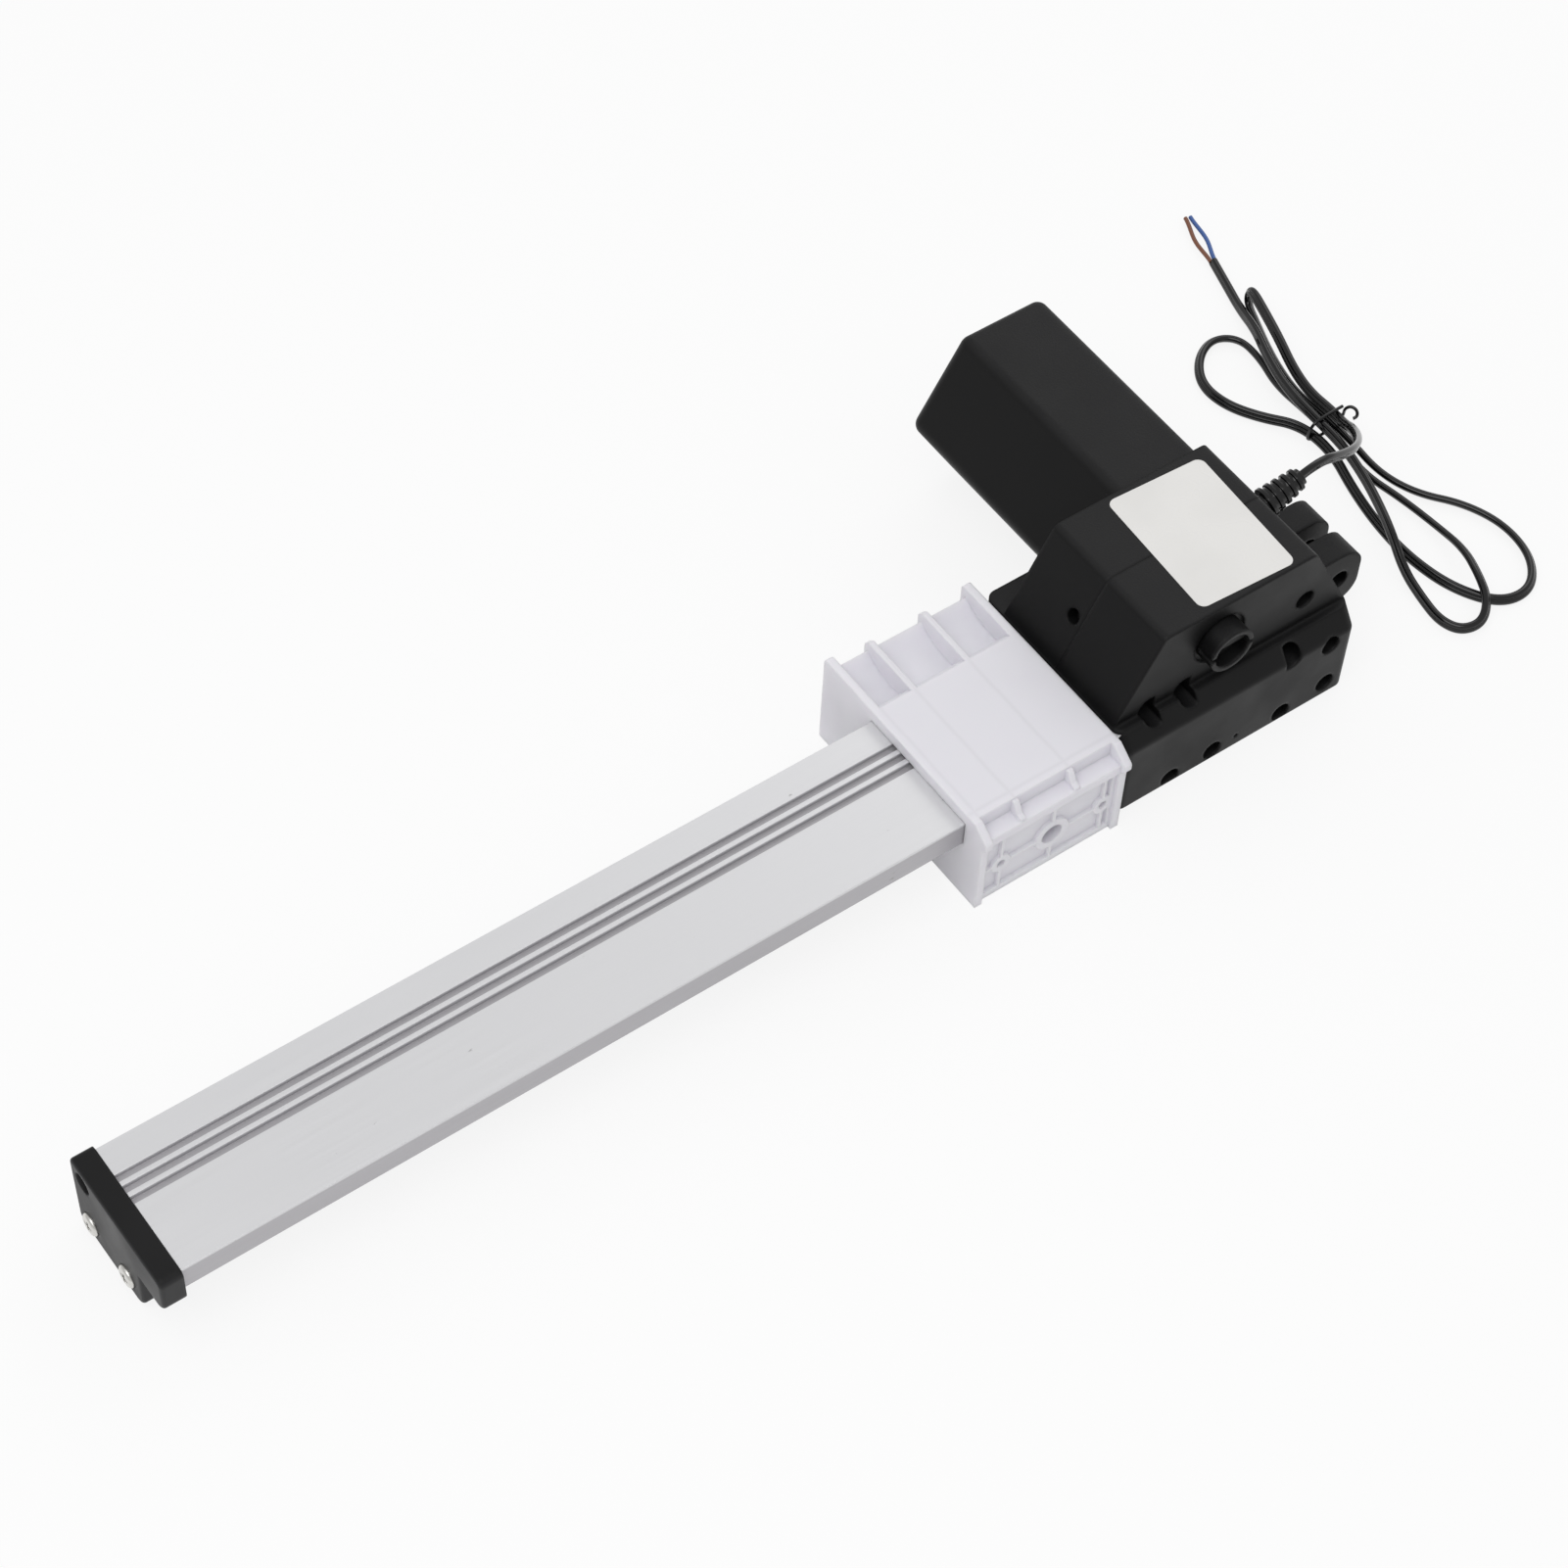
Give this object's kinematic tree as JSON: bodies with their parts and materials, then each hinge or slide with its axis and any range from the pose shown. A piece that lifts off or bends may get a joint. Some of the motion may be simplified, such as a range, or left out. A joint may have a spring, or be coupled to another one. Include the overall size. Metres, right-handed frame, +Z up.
{
  "type": "electric linear actuator",
  "caption": "Motorised slide drive: a worm-geared motor turns a lead screw inside an aluminium rail and draws a moulded slider along it to move furniture parts.",
  "frame": {"origin": "centre of the rear clevis bore, on the lead screw's axis", "axes": "+X along the rail from the clevis to the end cap, +Y along the clevis bore away from the motor, +Z up, away from the gearbox's flat underside"},
  "size_m": [0.5548, 0.2111, 0.0707],
  "materials": {
    "rail_aluminium": "satin extruded",
    "black_plastic": "fine spark grain",
    "milky_plastic": "satin, slightly translucent",
    "screw_steel": "zinc plated",
    "spindle_steel": "machined",
    "bearing_steel": "ground",
    "flange_metal": "plain",
    "bush_plastic": "moulded",
    "board_green": "lacquered",
    "switch_black": "moulded",
    "armature_iron": "stacked sheets",
    "commutator_copper": "turned",
    "magnet_dark": "sintered",
    "brush_carbon": "pressed carbon",
    "gasket_rubber": "matte",
    "label_white": "satin film",
    "cord_black": "satin",
    "wire_blue_cover": "satin",
    "wire_brown_cover": "satin"
  },
  "bodies": {
    "base": {"rail_profile": "rail_aluminium", "end_cap": "black_plastic", "gearbox_shell_near": "black_plastic", "gearbox_shell_motor_side": "black_plastic", "motor_cover": "black_plastic", "access_plug": "black_plastic", "end_cap_screws": "screw_steel", "housing_screws": "screw_steel", "rail_screws": "screw_steel", "motor_screws": "screw_steel", "cover_screws": "screw_steel", "front_bearing": "bearing_steel", "rear_bearing": "bearing_steel", "bearing_flange": "flange_metal", "motor_can": "flange_metal", "spindle_end_bush": "bush_plastic", "worm_end_bush": "bush_plastic", "motor_end_bell": "bush_plastic", "limit_switch_board": "board_green", "limit_switches": "switch_black", "motor_magnets": "magnet_dark", "carbon_brushes": "brush_carbon", "motor_gasket": "gasket_rubber", "label_plate": "label_white", "strain_relief": "cord_black", "power_cord": "cord_black", "cord_tie": "cord_black", "wire_blue": "wire_blue_cover", "wire_brown": "wire_brown_cover"},
    "slider": {"slider_body": "milky_plastic", "drive_nut": "bush_plastic", "nut_screws": "screw_steel"},
    "spindle": {"lead_screw": "spindle_steel", "worm_wheel": "bush_plastic", "wheel_pin": "screw_steel", "front_spacer": "spindle_steel", "rear_spacer": "spindle_steel"},
    "rotor": {"worm_shaft": "spindle_steel", "armature": "armature_iron", "commutator": "commutator_copper"}
  },
  "joints": [
    {"name": "motor_turn", "type": "hinge", "parent": "base", "child": "rotor", "pos_m": [0.0523, 0, 0.0211], "axis": [0, 1, 0], "range_deg": [0, 163790]},
    {"name": "spindle_turn", "type": "hinge", "parent": "base", "child": "spindle", "pos_m": [0, 0, 0], "axis": [1, 0, 0], "range_deg": [-12600, 0]},
    {"name": "slider_travel", "type": "slide", "parent": "base", "child": "slider", "axis": [1, 0, 0], "range_m": [0, 0.28]}
  ],
  "couplings": [
    {"joint": "spindle_turn", "follows": "motor_turn", "ratio": -0.076923},
    {"joint": "slider_travel", "follows": "motor_turn", "m_per_rad": 0.000097941}
  ]
}
